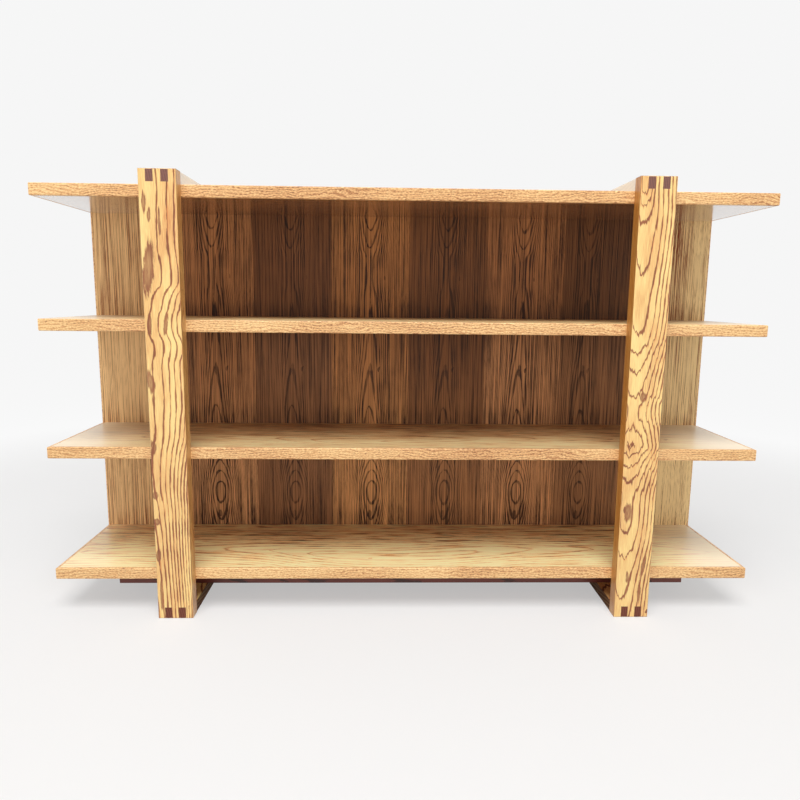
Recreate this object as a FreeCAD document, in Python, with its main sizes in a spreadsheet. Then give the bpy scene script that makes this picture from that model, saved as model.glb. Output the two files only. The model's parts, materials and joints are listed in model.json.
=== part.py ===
import FreeCAD, Part
import math
import os
import re

import Sketcher

# A long, low bookshelf of flat-sawn oak. Two upright frames of wide boards, box-jointed at their
# corners, stand across its depth. Four shelves run through both frames and on past them at each
# end, and a veneered panel closes the back. Lengths are in millimetres. X runs along the shelves,
# Y from front to back and Z up, and the origin is on the floor under the middle of the bookshelf.

SIZES = {
    # Shelves: veneered boards with solid lippings on the front and the two ends
    "shelf_length": 2134,
    "shelf_depth": 397,
    "shelf_thickness": 35,
    "shelf_gap": 343,
    "shelf_count": 4,
    "lipping_depth": 10,
    "lipping_round": 3,
    # Frames: posts and rails of one board width, joined by fingers of equal width
    "board_width": 104,
    "post_thickness": 43,
    "rail_thickness": 35,
    "frame_inset": 319,
    "finger_gaps": 2,
    "frame_round": 3,
    "frame_bevel": 2,
    # Runners: boards on edge between the bottom rails and the bottom shelf
    "runner_end_inset": 137,
    "runner_height": 72,
    "runner_thickness": 25,
    "runner_inset": 132,
    # Back panel: core, thin lippings round its edge, and face veneer laid in leaves
    "panel_thickness": 12,
    "panel_lipping": 4,
    "leaf_thickness": 0.6,
    "leaf_count": 8,
    "leaf_trim": 34,
    # Loose tenons, each glued into a mortise in both of the boards that it joins
    "tenon_width": 30,
    "tenon_clearance": 0.1,
    "tenon_end_room": 0.5,
    "pair_spacing": 52,
    "post_tenon_thickness": 10,
    "tenon_in_post": 25,
    "tenon_in_shelf": 30,
    "runner_tenon_thickness": 8,
    "runner_tenon_length": 36,
    "runner_tenon_inset": 130,
    "runner_tenon_count": 5,
    # Flat-headed screws through the back panel into the shelves
    "panel_screw_radius": 2,
    "panel_screw_length": 35,
    "panel_screw_head_radius": 4.5,
    "panel_screw_head_height": 2.5,
    "panel_screw_inset": 137,
    "panel_screw_columns": 5,
    "screw_clearance": 0.1,
    "screw_end_room": 1,
    # Cuts start this far outside the face that they enter
    "overrun": 5,
}

# Sizes and places that follow from the ones above
DERIVED = {
    "half_length": "shelf_length / 2",
    "frame_offset": "half_length - frame_inset - half_board",
    "half_depth": "(2 * post_thickness + shelf_depth + panel_thickness) / 2",
    "half_board": "board_width / 2",
    "finger_width": "board_width / (2 * finger_gaps + 1)",
    "shelf_front": "post_thickness - half_depth",
    "panel_front": "shelf_front + shelf_depth",
    "panel_rear": "panel_front + panel_thickness",
    "shelf_pitch": "shelf_thickness + shelf_gap",
    "shelf_base": "rail_thickness + runner_height",
    "shelf_top": "shelf_base + (shelf_count - 1) * shelf_pitch + shelf_thickness",
    "frame_height": "shelf_top + rail_thickness",
    "shelf_middle": "shelf_base + shelf_thickness / 2",
    "core_length": "shelf_length - 2 * lipping_depth",
    "core_depth": "shelf_depth - lipping_depth",
    "runner_length": "shelf_length - 2 * runner_end_inset",
    "panel_height": "shelf_top - shelf_base",
    "panel_inner_length": "shelf_length - 2 * panel_lipping",
    "leaf_width": "(panel_inner_length + leaf_trim) / leaf_count",
    "mortise_width": "tenon_width + 2 * tenon_clearance",
    "post_mortise_height": "post_tenon_thickness + 2 * tenon_clearance",
    "post_mortise_depth": "tenon_in_post + tenon_end_room",
    "shelf_mortise_depth": "tenon_in_shelf + tenon_end_room",
    "runner_mortise_thickness": "runner_tenon_thickness + 2 * tenon_clearance",
    "runner_mortise_depth": "runner_tenon_length / 2 + tenon_end_room",
    "runner_tenon_span": "runner_length - 2 * runner_tenon_inset",
    "runner_tenon_pitch": "runner_tenon_span / (runner_tenon_count - 1)",
    "panel_screw_hole_radius": "panel_screw_radius + screw_clearance",
    "panel_screw_reach": "panel_screw_length - panel_thickness + screw_end_room",
    "panel_screw_span": "shelf_length - 2 * panel_screw_inset",
    "panel_screw_pitch": "panel_screw_span / (panel_screw_columns - 1)",
}

SHELVES = ("bottom", "lower", "upper", "top")
SIDES = {"left": -1, "right": 1}
UP = FreeCAD.Vector(0, 0, 1)
ALONG_DEPTH = FreeCAD.Vector(0, 1, 0)
HALF_TURN = 180
# The screws are small and many, so their sections have this many sides in place of a circle
SCREW_SIDES = 8
# Edges count as lying in a face when they are off it by less than this share of the body's diagonal
NEAR_SHARE = 1e-9

doc = FreeCAD.newDocument("bookshelf")
sheet = doc.addObject("Spreadsheet::Sheet", "sizes")
for row, (name, value) in enumerate(SIZES.items(), 1):
    sheet.set(f"A{row}", name)
    sheet.set(f"B{row}", str(value))
    sheet.setAlias(f"B{row}", name)
doc.recompute()

pieces = []


def bound(formula):
    """Spells out a formula on size names as one on the sheet's cells."""
    def spell(word):
        name = word.group()
        if name in DERIVED:
            return "(" + bound(DERIVED[name]) + ")"
        return "<<sizes>>." + name
    return re.sub(r"[a-z_]+", spell, formula)


def tie(thing, setting, formula):
    """Makes one setting of a feature follow the sizes."""
    thing.setExpression(setting, bound(formula))


def origin_feature(body, role):
    """Finds one of a body's own base planes or axes."""
    return next(feature for feature in body.Origin.OriginFeatures if feature.Role == role)


def new_body(label, keep=True):
    """Starts a piece; one that isn't kept only serves as a cutting shape for others."""
    body = doc.addObject("PartDesign::Body", label)
    body.Label = label
    if keep:
        pieces.append(body)
    return body


def place(piece, across, deep, high, turn_axis=None):
    """Puts a piece where the sizes say, turned by half a turn if an axis is given."""
    if turn_axis is not None:
        piece.Placement.Rotation = FreeCAD.Rotation(turn_axis, HALF_TURN)
    tie(piece, "Placement.Base.x", across)
    tie(piece, "Placement.Base.y", deep)
    tie(piece, "Placement.Base.z", high)
    return piece


def hold(sketch, kind, elements, formula):
    """Adds a driving dimension that follows the sizes."""
    number = sketch.addConstraint(Sketcher.Constraint(kind, *elements, 1.0))
    tie(sketch, f"Constraints[{number}]", formula)


def sketch_on(body, name, plane, shift="0"):
    """Opens a sketch on a base plane of its body, moved along the plane's normal by shift."""
    sketch = body.newObject("Sketcher::SketchObject", name)
    sketch.AttachmentSupport = [(origin_feature(body, plane), "")]
    sketch.MapMode = "FlatFace"
    tie(sketch, "AttachmentOffset.Base.z", shift)
    return sketch


def draw_outline(sketch, corners):
    """Joins corners by straight lines; each corner is dimensioned from the sketch's origin."""
    count = len(corners)
    first = sketch.GeometryCount
    turn = 2 * math.pi / count
    start = [FreeCAD.Vector(math.cos(turn * step), math.sin(turn * step), 0) for step in range(count)]
    for step in range(count):
        sketch.addGeometry(Part.LineSegment(start[step], start[(step + 1) % count]), False)
    for step in range(count):
        follower = first + (step + 1) % count
        sketch.addConstraint(Sketcher.Constraint("Coincident", first + step, 2, follower, 1))
    for step, (across, up) in enumerate(corners):
        hold(sketch, "DistanceX", (-1, 1, first + step, 1), across)
        hold(sketch, "DistanceY", (-1, 1, first + step, 1), up)
    return sketch


def draw_rectangle(sketch, left, right, low, high):
    """Draws a rectangle between two places across and two places up."""
    return draw_outline(sketch, [(left, low), (right, low), (right, high), (left, high)])


def draw_mortises(sketch, centres, width, height):
    """Draws equal rectangles round centres, for tenons' ends or the mortises that take them."""
    for across, up in centres:
        draw_rectangle(sketch, f"{across} - {width} / 2", f"{across} + {width} / 2",
                       f"{up} - {height} / 2", f"{up} + {height} / 2")
    return sketch


def draw_screw_section(sketch, across, up, radius):
    """Draws a screw's section, or its hole's, as a regular outline round a centre."""
    turn = 2 * math.pi / SCREW_SIDES
    corners = []
    for step in range(SCREW_SIDES):
        aside = f"{across} + {math.cos(turn * step):.6f} * ({radius})"
        above = f"{up} + {math.sin(turn * step):.6f} * ({radius})"
        corners.append((aside, above))
    return draw_outline(sketch, corners)


def finish_feature(body, feature):
    """Makes a feature the body's last one and brings the model up to date."""
    body.Tip = feature
    doc.recompute()
    return feature


def add_pad(body, sketch, thickness, reverse=False):
    """Raises a sketch into a solid; reverse sends it against the sketch's normal."""
    feature = body.newObject("PartDesign::Pad", sketch.Name + "_pad")
    feature.Profile = sketch
    feature.Reversed = reverse
    tie(feature, "Length", thickness)
    return finish_feature(body, feature)


def cut_pocket(body, sketch, depth=None, reverse=False):
    """Cuts a sketch into the body against its normal, right through where no depth is given."""
    before = body.Shape.Volume
    feature = body.newObject("PartDesign::Pocket", sketch.Name + "_pocket")
    feature.Profile = sketch
    feature.Reversed = reverse
    if depth is None:
        feature.Type = "ThroughAll"
    else:
        tie(feature, "Length", depth)
    finish_feature(body, feature)
    if body.Shape.Volume >= before:
        raise RuntimeError(f"{body.Label}: {feature.Name} cuts nothing")
    return feature


def repeat(body, features, runs):
    """Repeats features along base axes: each run is an axis, a spacing and a count."""
    steps = []
    name = features[0].Name
    array = body.newObject("PartDesign::MultiTransform", name + "_array")
    array.Originals = features
    for axis, spacing, count in runs:
        step = body.newObject("PartDesign::LinearPattern", name + "_" + axis.lower())
        step.Direction = (origin_feature(body, axis), [""])
        step.Mode = "Spacing"
        tie(step, "Offset", spacing)
        tie(step, "Occurrences", count)
        steps.append(step)
    array.Transformations = steps
    return finish_feature(body, array)


def outer_edges(body, faces):
    """Names the edges that lie in two of the named outer faces of the body."""
    box = body.Shape.BoundBox
    near = box.DiagonalLength * NEAR_SHARE
    names = []
    for number, edge in enumerate(body.Shape.Edges, 1):
        span = edge.BoundBox
        touching = {
            "left": abs(span.XMax - box.XMin) < near,
            "right": abs(span.XMin - box.XMax) < near,
            "front": abs(span.YMax - box.YMin) < near,
            "rear": abs(span.YMin - box.YMax) < near,
            "under": abs(span.ZMax - box.ZMin) < near,
            "over": abs(span.ZMin - box.ZMax) < near,
        }
        if sum(touching[face] for face in faces.split()) == 2:
            names.append(f"Edge{number}")
    return names


def round_edges(body, radius, *groups):
    """Rounds the edges that lie in two faces of one group."""
    sharp = body.Tip
    names = [name for faces in groups for name in outer_edges(body, faces)]
    feature = body.newObject("PartDesign::Fillet", "rounded_edges")
    feature.Base = (sharp, names)
    tie(feature, "Radius", radius)
    return finish_feature(body, feature)


def bevel_edges(body, size, *groups):
    """Bevels the edges that lie in two faces of one group."""
    sharp = body.Tip
    names = [name for faces in groups for name in outer_edges(body, faces)]
    feature = body.newObject("PartDesign::Chamfer", "bevelled_edges")
    feature.Base = (sharp, names)
    tie(feature, "Size", size)
    return finish_feature(body, feature)


def pair_across(middle):
    """Gives the two places, half the pair's spacing each side of a board's middle."""
    return [f"{middle} - pair_spacing / 2", f"{middle} + pair_spacing / 2"]


def all_pairs():
    """Gives the places along the shelves of the four tenons in a row, two to a frame."""
    return pair_across("0 - frame_offset") + pair_across("frame_offset")


# Frames. The post's fingers are the odd fifths of its width, the rail's the even ones, and each
# reaches through the other board, so that the rail's end grain shows on the post's face.

def make_post(label):
    """A plank with its outer face on Y = 0, notched at both ends for the rails' fingers.

    Its inner face has two mortises at each shelf."""
    body = new_body(label)
    face = sketch_on(body, "face", "XZ_Plane")
    draw_rectangle(face, "0 - half_board", "half_board", "0", "frame_height")
    add_pad(body, face, "post_thickness", reverse=True)
    gap = sketch_on(body, "finger_gap", "XZ_Plane")
    left = "finger_width - half_board"
    right = "2 * finger_width - half_board"
    draw_rectangle(gap, left, right, "frame_height - rail_thickness", "frame_height + overrun")
    draw_rectangle(gap, left, right, "0 - overrun", "rail_thickness")
    notch = cut_pocket(body, gap)
    repeat(body, [notch], [("X_Axis", "2 * finger_width", "finger_gaps")])
    bevel_edges(body, "frame_bevel", "front under over")
    round_edges(body, "frame_round", "left right front")
    mortises = sketch_on(body, "mortises", "XZ_Plane", "0 - post_thickness")
    centres = [(across, "shelf_middle") for across in pair_across("0")]
    draw_mortises(mortises, centres, "mortise_width", "post_mortise_height")
    cut_in = cut_pocket(body, mortises, "post_mortise_depth", reverse=True)
    repeat(body, [cut_in], [("Z_Axis", "shelf_pitch", "shelf_count")])
    return body


def make_posts(side):
    """One frame's two posts, alike, with the rear one turned round."""
    front = make_post(f"{side}_front_post")
    place(front, f"{SIDES[side]} * frame_offset", "0 - half_depth", "0")
    rear = make_post(f"{side}_rear_post")
    place(rear, f"{SIDES[side]} * frame_offset", "half_depth", "0", UP)


def make_rail(label, side, underneath):
    """A flat board over the top shelf, or turned over under the runners."""
    body = new_body(label)
    plan = sketch_on(body, "plan", "XY_Plane")
    draw_rectangle(plan, "0 - half_board", "half_board", "0 - half_depth", "half_depth")
    add_pad(body, plan, "rail_thickness")
    gap = sketch_on(body, "finger_gap", "XY_Plane", "rail_thickness")
    left = "0 - half_board"
    right = "finger_width - half_board"
    draw_rectangle(gap, left, right, "0 - half_depth - overrun", "post_thickness - half_depth")
    draw_rectangle(gap, left, right, "half_depth - post_thickness", "half_depth + overrun")
    notch = cut_pocket(body, gap)
    repeat(body, [notch], [("X_Axis", "2 * finger_width", "finger_gaps + 1")])
    bevel_edges(body, "frame_bevel", "front rear over")
    round_edges(body, "frame_round", "left right over")
    if underneath:
        mortises = sketch_on(body, "mortises", "XY_Plane")
        centres = [(across, deep) for across in pair_across("0") for deep in runner_middles().values()]
        draw_mortises(mortises, centres, "mortise_width", "runner_mortise_thickness")
        cut_pocket(body, mortises, "runner_mortise_depth", reverse=True)
        place(body, f"{SIDES[side]} * frame_offset", "0", "rail_thickness", ALONG_DEPTH)
    else:
        place(body, f"{SIDES[side]} * frame_offset", "0", "shelf_top")


def runner_middles():
    """Gives the places from front to back of the two runners' middles."""
    inset = "runner_inset + runner_thickness / 2"
    return {"front": f"shelf_front + {inset}", "rear": f"panel_front - ({inset})"}


# Shelves. Each is a core board with its lippings: the front one runs the whole length, and the
# end ones butt against its back.

def make_core(label, level):
    """The core board, with mortises and screw holes in its edges."""
    body = new_body(label)
    plan = sketch_on(body, "plan", "XY_Plane")
    draw_rectangle(plan, "0 - core_length / 2", "core_length / 2", "0", "core_depth")
    add_pad(body, plan, "shelf_thickness")
    middle = "shelf_thickness / 2"
    centres = [(across, middle) for across in all_pairs()]
    front = sketch_on(body, "front_mortises", "XZ_Plane")
    draw_mortises(front, centres, "mortise_width", "post_mortise_height")
    cut_pocket(body, front, "shelf_mortise_depth - lipping_depth")
    rear = sketch_on(body, "rear_mortises", "XZ_Plane", "0 - core_depth")
    draw_mortises(rear, centres, "mortise_width", "post_mortise_height")
    cut_pocket(body, rear, "shelf_mortise_depth", reverse=True)
    screws = sketch_on(body, "panel_screw_hole", "XZ_Plane", "0 - core_depth")
    draw_screw_section(screws, "0 - panel_screw_span / 2", middle, "panel_screw_hole_radius")
    hole = cut_pocket(body, screws, "panel_screw_reach", reverse=True)
    repeat(body, [hole], [("X_Axis", "panel_screw_pitch", "panel_screw_columns")])
    if level == 0:
        mortise_for_runners(body)
    place(body, "0", "shelf_front + lipping_depth", f"shelf_base + {level} * shelf_pitch")


def mortise_for_runners(body):
    """Cuts the mortises in the bottom shelf's underside for the runners' tenons."""
    under = sketch_on(body, "runner_mortises", "XY_Plane")
    own_front = "(shelf_front + lipping_depth)"
    centres = [("0 - runner_tenon_span / 2", f"{deep} - {own_front}") for deep in runner_middles().values()]
    draw_mortises(under, centres, "mortise_width", "runner_mortise_thickness")
    cut_in = cut_pocket(body, under, "runner_mortise_depth", reverse=True)
    repeat(body, [cut_in], [("X_Axis", "runner_tenon_pitch", "runner_tenon_count")])


def make_front_lipping(label, level):
    """The front lipping, rounded along its outer edges and cut through for the tenons."""
    body = new_body(label)
    face = sketch_on(body, "face", "XZ_Plane")
    draw_rectangle(face, "0 - half_length", "half_length", "0", "shelf_thickness")
    add_pad(body, face, "lipping_depth", reverse=True)
    round_edges(body, "lipping_round", "front under over", "left under over", "right under over")
    slots = sketch_on(body, "mortises", "XZ_Plane")
    centres = [(across, "shelf_thickness / 2") for across in all_pairs()]
    draw_mortises(slots, centres, "mortise_width", "post_mortise_height")
    cut_pocket(body, slots)
    place(body, "0", "shelf_front", f"shelf_base + {level} * shelf_pitch")


def make_end_lipping(label, level, side):
    """An end lipping, rounded on its outer edges."""
    body = new_body(label)
    outer = f"{SIDES[side]} * half_length"
    inner = f"{SIDES[side]} * core_length / 2"
    plan = sketch_on(body, "plan", "XY_Plane")
    draw_rectangle(plan, outer, inner, "lipping_depth", "shelf_depth")
    add_pad(body, plan, "shelf_thickness")
    round_edges(body, "lipping_round", f"{side} under over")
    place(body, "0", "shelf_front", f"shelf_base + {level} * shelf_pitch")


def make_shelf(name, level):
    """One shelf: its core board, front lipping and two end lippings."""
    make_core(f"{name}_shelf", level)
    make_front_lipping(f"{name}_shelf_front_lipping", level)
    for side in SIDES:
        make_end_lipping(f"{name}_shelf_{side}_lipping", level, side)


# Runners. Each lies along the bookshelf, on edge, between the bottom rails and the bottom shelf.

def make_runner(name):
    """A board on edge with mortises below, over each rail, and above."""
    body = new_body(f"{name}_runner")
    plan = sketch_on(body, "plan", "XY_Plane")
    draw_rectangle(plan, "0 - runner_length / 2", "runner_length / 2",
                   "0 - runner_thickness / 2", "runner_thickness / 2")
    add_pad(body, plan, "runner_height")
    below = sketch_on(body, "rail_mortises", "XY_Plane")
    draw_mortises(below, [(across, "0") for across in all_pairs()], "mortise_width", "runner_mortise_thickness")
    cut_pocket(body, below, "runner_mortise_depth", reverse=True)
    above = sketch_on(body, "shelf_mortises", "XY_Plane", "runner_height")
    draw_mortises(above, [("0 - runner_tenon_span / 2", "0")], "mortise_width", "runner_mortise_thickness")
    cut_in = cut_pocket(body, above, "runner_mortise_depth")
    repeat(body, [cut_in], [("X_Axis", "runner_tenon_pitch", "runner_tenon_count")])
    place(body, "0", runner_middles()[name], "rail_thickness")


# Loose tenons and screws. Each kind is one node of separate, equal solids.

def make_post_tenons(label, deep, length):
    """Tenons from the posts into the shelves, in rows from one place in depth."""
    body = new_body(label)
    ends = sketch_on(body, "ends", "XZ_Plane")
    centres = [(across, "shelf_middle") for across in all_pairs()]
    draw_mortises(ends, centres, "tenon_width", "post_tenon_thickness")
    row = add_pad(body, ends, length, reverse=True)
    repeat(body, [row], [("Z_Axis", "shelf_pitch", "shelf_count")])
    place(body, "0", deep, "0")


def make_rail_tenons():
    """Tenons from the bottom rails up into the runners."""
    body = new_body("rail_tenons")
    ends = sketch_on(body, "ends", "XY_Plane")
    centres = [(across, deep) for across in all_pairs() for deep in runner_middles().values()]
    draw_mortises(ends, centres, "tenon_width", "runner_tenon_thickness")
    add_pad(body, ends, "runner_tenon_length")
    place(body, "0", "0", "rail_thickness - runner_tenon_length / 2")


def make_runner_tenons():
    """Tenons from the runners up into the bottom shelf."""
    body = new_body("runner_tenons")
    ends = sketch_on(body, "ends", "XY_Plane")
    centres = [("0 - runner_tenon_span / 2", deep) for deep in runner_middles().values()]
    draw_mortises(ends, centres, "tenon_width", "runner_tenon_thickness")
    pair = add_pad(body, ends, "runner_tenon_length")
    repeat(body, [pair], [("X_Axis", "runner_tenon_pitch", "runner_tenon_count")])
    place(body, "0", "0", "shelf_base - runner_tenon_length / 2")


def make_panel_screws():
    """Screws in rows, their heads on the back panel's rear face."""
    body = new_body("panel_screws")
    axis = "0 - panel_screw_span / 2"
    heads = sketch_on(body, "heads", "XZ_Plane")
    draw_screw_section(heads, axis, "shelf_middle", "panel_screw_head_radius")
    shanks = sketch_on(body, "shanks", "XZ_Plane")
    draw_screw_section(shanks, axis, "shelf_middle", "panel_screw_radius")
    screw = [add_pad(body, heads, "panel_screw_head_height", reverse=True),
             add_pad(body, shanks, "panel_screw_length")]
    repeat(body, screw, [("X_Axis", "panel_screw_pitch", "panel_screw_columns"),
                         ("Z_Axis", "shelf_pitch", "shelf_count")])
    place(body, "0", "panel_rear", "0")


# Back panel. It covers the shelves' rear edges from the bottom shelf's underside to the top
# shelf's upper face. Its face veneer is laid in leaves of one width from the left, with the last
# one trimmed to reach the right lipping.

def make_openings():
    """The shapes of all the mortises and screw holes that go through the back panel."""
    body = new_body("panel_openings", keep=False)
    through = "panel_thickness + 2 * overrun"
    slots = sketch_on(body, "slots", "XZ_Plane", "0 - overrun")
    centres = [(across, "shelf_middle") for across in all_pairs()]
    draw_mortises(slots, centres, "mortise_width", "post_mortise_height")
    slot_row = add_pad(body, slots, through)
    repeat(body, [slot_row], [("Z_Axis", "shelf_pitch", "shelf_count")])
    ways = sketch_on(body, "screw_ways", "XZ_Plane", "0 - overrun")
    draw_screw_section(ways, "0 - panel_screw_span / 2", "shelf_middle", "panel_screw_hole_radius")
    first_way = add_pad(body, ways, through)
    repeat(body, [first_way], [("X_Axis", "panel_screw_pitch", "panel_screw_columns"),
                               ("Z_Axis", "shelf_pitch", "shelf_count")])
    return place(body, "0", "panel_rear", "0")


def make_board(label, corner, extent):
    """A rectangular board from its low corner and its extent along X, Y and Z."""
    board = doc.addObject("Part::Box", label)
    board.Label = label
    for setting, formula in zip(("Length", "Width", "Height"), extent):
        tie(board, setting, formula)
    place(board, *corner)
    return board


def open_board(label, board, openings):
    """A board with the panel's mortises and screw holes cut out of it."""
    board.Label = label + "_blank"
    opened = doc.addObject("Part::Cut", label)
    opened.Label = label
    opened.Base = board
    opened.Tool = openings
    pieces.append(opened)


def make_panel(openings):
    """The panel's core, its four lippings and the leaves of its face veneer."""
    lip = "panel_lipping"
    inner_low = f"shelf_base + {lip}"
    inner_height = f"panel_height - 2 * {lip}"
    inner_left = f"{lip} - half_length"
    inner_length = "panel_inner_length"
    core_front = "panel_front + leaf_thickness"
    core = make_board("core", (inner_left, core_front, inner_low),
                      (inner_length, "panel_thickness - leaf_thickness", inner_height))
    open_board("back_panel", core, openings)
    upright = (lip, "panel_thickness", "panel_height")
    level = (inner_length, "panel_thickness", lip)
    lippings = {
        "left": (("0 - half_length", "panel_front", "shelf_base"), upright),
        "right": ((f"half_length - {lip}", "panel_front", "shelf_base"), upright),
        "bottom": ((inner_left, "panel_front", "shelf_base"), level),
        "top": ((inner_left, "panel_front", f"shelf_top - {lip}"), level),
    }
    for name, (corner, extent) in lippings.items():
        pieces.append(make_board(f"back_panel_{name}_lipping", corner, extent))
    for number in range(SIZES["leaf_count"]):
        width = "leaf_width"
        if number == SIZES["leaf_count"] - 1:
            width = "leaf_width - leaf_trim"
        leaf = make_board("leaf", (f"{inner_left} + {number} * leaf_width", "panel_front", inner_low),
                          (width, "leaf_thickness", inner_height))
        open_board(f"veneer_leaf_{number + 1}", leaf, openings)


def check_pieces():
    """Stops if any feature failed, or a piece's shape is empty or faulty."""
    doc.recompute()
    for thing in doc.Objects:
        if "Invalid" in thing.State or "Error" in thing.State:
            raise RuntimeError(f"{thing.Label} is {thing.State}")
    for piece in pieces:
        if piece.Shape.isNull() or not piece.Shape.isValid():
            raise RuntimeError(f"{piece.Label} has no sound shape")


for side in SIDES:
    make_posts(side)
    make_rail(f"{side}_top_rail", side, underneath=False)
    make_rail(f"{side}_bottom_rail", side, underneath=True)
for level, name in enumerate(SHELVES):
    make_shelf(name, level)
make_runner("front")
make_runner("rear")
make_post_tenons("front_shelf_tenons", "shelf_front - tenon_in_post", "tenon_in_post + tenon_in_shelf")
make_post_tenons("rear_shelf_tenons", "panel_front - tenon_in_shelf",
                 "tenon_in_shelf + panel_thickness + tenon_in_post")
make_rail_tenons()
make_runner_tenons()
make_panel_screws()
make_panel(make_openings())
check_pieces()

os.makedirs("parts", exist_ok=True)
for piece in pieces:
    piece.Shape.exportStep(f"parts/{piece.Label}.step")
print(len(pieces), "pieces written")
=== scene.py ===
# %% [markdown]
# # A long oak bookshelf, dressed for its picture
#
# The shapes of this bookshelf come ready made from the CAD model: boards, shelves, panel, tenons and screws.
# What is left for Blender is the wood. Oak has a bold figure, and each board of the real piece shows it
# differently, so most of this lesson is about drawing growth rings with a few sums. At the end come the
# floor, the light and a print of the size.

import json
import math

import bpy
import numpy as np
from mathutils import Matrix, Vector

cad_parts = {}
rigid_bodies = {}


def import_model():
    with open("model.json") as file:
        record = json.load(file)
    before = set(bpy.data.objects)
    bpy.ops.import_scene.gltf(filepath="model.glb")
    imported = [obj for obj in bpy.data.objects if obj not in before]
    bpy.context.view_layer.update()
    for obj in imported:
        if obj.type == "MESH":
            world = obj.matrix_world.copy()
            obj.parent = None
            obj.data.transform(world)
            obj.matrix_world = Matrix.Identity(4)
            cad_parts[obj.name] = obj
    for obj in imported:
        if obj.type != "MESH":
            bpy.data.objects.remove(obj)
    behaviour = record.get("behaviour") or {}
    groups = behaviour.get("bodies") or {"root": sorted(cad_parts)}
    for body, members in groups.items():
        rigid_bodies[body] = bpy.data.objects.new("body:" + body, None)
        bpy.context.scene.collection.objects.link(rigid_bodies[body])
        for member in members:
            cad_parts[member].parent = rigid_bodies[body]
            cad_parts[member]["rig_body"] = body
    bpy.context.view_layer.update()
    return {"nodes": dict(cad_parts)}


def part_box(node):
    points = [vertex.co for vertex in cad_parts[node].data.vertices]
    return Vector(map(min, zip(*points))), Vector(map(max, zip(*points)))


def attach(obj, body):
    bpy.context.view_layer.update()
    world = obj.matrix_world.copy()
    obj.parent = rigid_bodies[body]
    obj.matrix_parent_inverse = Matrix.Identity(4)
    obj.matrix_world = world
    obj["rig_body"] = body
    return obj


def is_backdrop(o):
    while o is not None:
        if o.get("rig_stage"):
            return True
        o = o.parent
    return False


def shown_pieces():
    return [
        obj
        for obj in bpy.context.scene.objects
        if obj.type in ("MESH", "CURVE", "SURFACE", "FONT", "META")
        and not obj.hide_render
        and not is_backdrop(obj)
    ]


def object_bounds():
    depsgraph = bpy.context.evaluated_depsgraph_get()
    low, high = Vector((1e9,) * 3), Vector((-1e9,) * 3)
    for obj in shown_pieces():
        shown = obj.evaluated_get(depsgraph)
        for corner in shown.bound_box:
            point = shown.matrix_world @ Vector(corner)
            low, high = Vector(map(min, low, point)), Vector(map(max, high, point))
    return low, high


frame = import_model()
nodes = frame["nodes"]

# %% [markdown]
# ## The camera
#
# The picture was taken from in front, a little left of the middle and below the top shelf, with
# the camera tipped down and very slightly turned and rolled. One could push a camera about until
# it looks right. Here the numbers come from fitting a camera to the corners of the boards, which
# leaves an error of about half a pixel. A camera looks along its own -Z with +Y up, so its matrix
# has the right, up and backward directions as columns.

# %% Camera
PLACE = Vector((-0.0746, -2.1495, 0.9667))
TURN_RIGHT = 0.0271
TIP_DOWN = 0.1526
ROLL = 0.0102
FOCAL_PIXELS = 662.73
PICTURE_PIXELS = 800
SENSOR_MM = 36.0


def camera_axes(turn, tip, roll):
    """Right, up and forward: forward is turned from +Y and tipped down, then right and up roll."""
    forward = Vector((math.sin(turn) * math.cos(tip), math.cos(turn) * math.cos(tip), -math.sin(tip)))
    level = Vector((math.cos(turn), -math.sin(turn), 0))
    above = level.cross(forward)
    right = math.cos(roll) * level + math.sin(roll) * above
    return right, right.cross(forward), forward


right, up, forward = camera_axes(TURN_RIGHT, TIP_DOWN, ROLL)
camera = bpy.data.objects.new("camera", bpy.data.cameras.new("camera"))
camera.matrix_world = Matrix.Translation(PLACE) @ Matrix((right, up, -forward)).transposed().to_4x4()
camera.data.sensor_width = SENSOR_MM
camera.data.lens = FOCAL_PIXELS / PICTURE_PIXELS * SENSOR_MM
bpy.context.scene.collection.objects.link(camera)
bpy.context.scene.camera = camera
print("lens", round(camera.data.lens, 2), "mm")

# %% [markdown]
# ## Sums on sockets
#
# A wood pattern is a long formula, and a node for every + and * is hard to read. This small class
# holds one output socket, and Python's own operators on it add the Math nodes. `1 - mask` works
# too, because the reflected forms are there. Colours never go through a Math node, as that would
# turn them grey.

# %% Values that can be added and multiplied
class Value:
    """An output socket of a finish; arithmetic on it adds Math nodes."""

    def __init__(self, finish, socket):
        self.finish = finish
        self.socket = socket

    def sum_with(self, operation, other=0.0, swapped=False):
        """Adds one Math node on this value and another, in the other order if swapped."""
        pair = (other, self) if swapped else (self, other)
        return self.finish.node("Math", {"operation": operation}, {0: pair[0], 1: pair[1]})

    def __add__(self, other):
        return self.sum_with("ADD", other)

    def __radd__(self, other):
        return self.sum_with("ADD", other)

    def __sub__(self, other):
        return self.sum_with("SUBTRACT", other)

    def __rsub__(self, other):
        return self.sum_with("SUBTRACT", other, swapped=True)

    def __mul__(self, other):
        return self.sum_with("MULTIPLY", other)

    def __rmul__(self, other):
        return self.sum_with("MULTIPLY", other)

    def __truediv__(self, other):
        return self.sum_with("DIVIDE", other)

    def __rtruediv__(self, other):
        return self.sum_with("DIVIDE", other, swapped=True)

    def __pow__(self, other):
        return self.sum_with("POWER", other)

    def __gt__(self, other):
        return self.sum_with("GREATER_THAN", other)

    def __lt__(self, other):
        return self.sum_with("LESS_THAN", other)

    def __abs__(self):
        return self.sum_with("ABSOLUTE")


print("Value:", Value.__doc__)

# %% [markdown]
# A finish is a material while it is being built. Its method `node` takes any type of node, its
# settings and the values or links of its sockets. What is the same all over a surface, such as
# how smooth the lacquer is, is set straight on the shader.

# %% A finish and its one way to add nodes
LEAST_SPAN = 1e-6  # so that a level curve is not divided by 0


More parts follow.
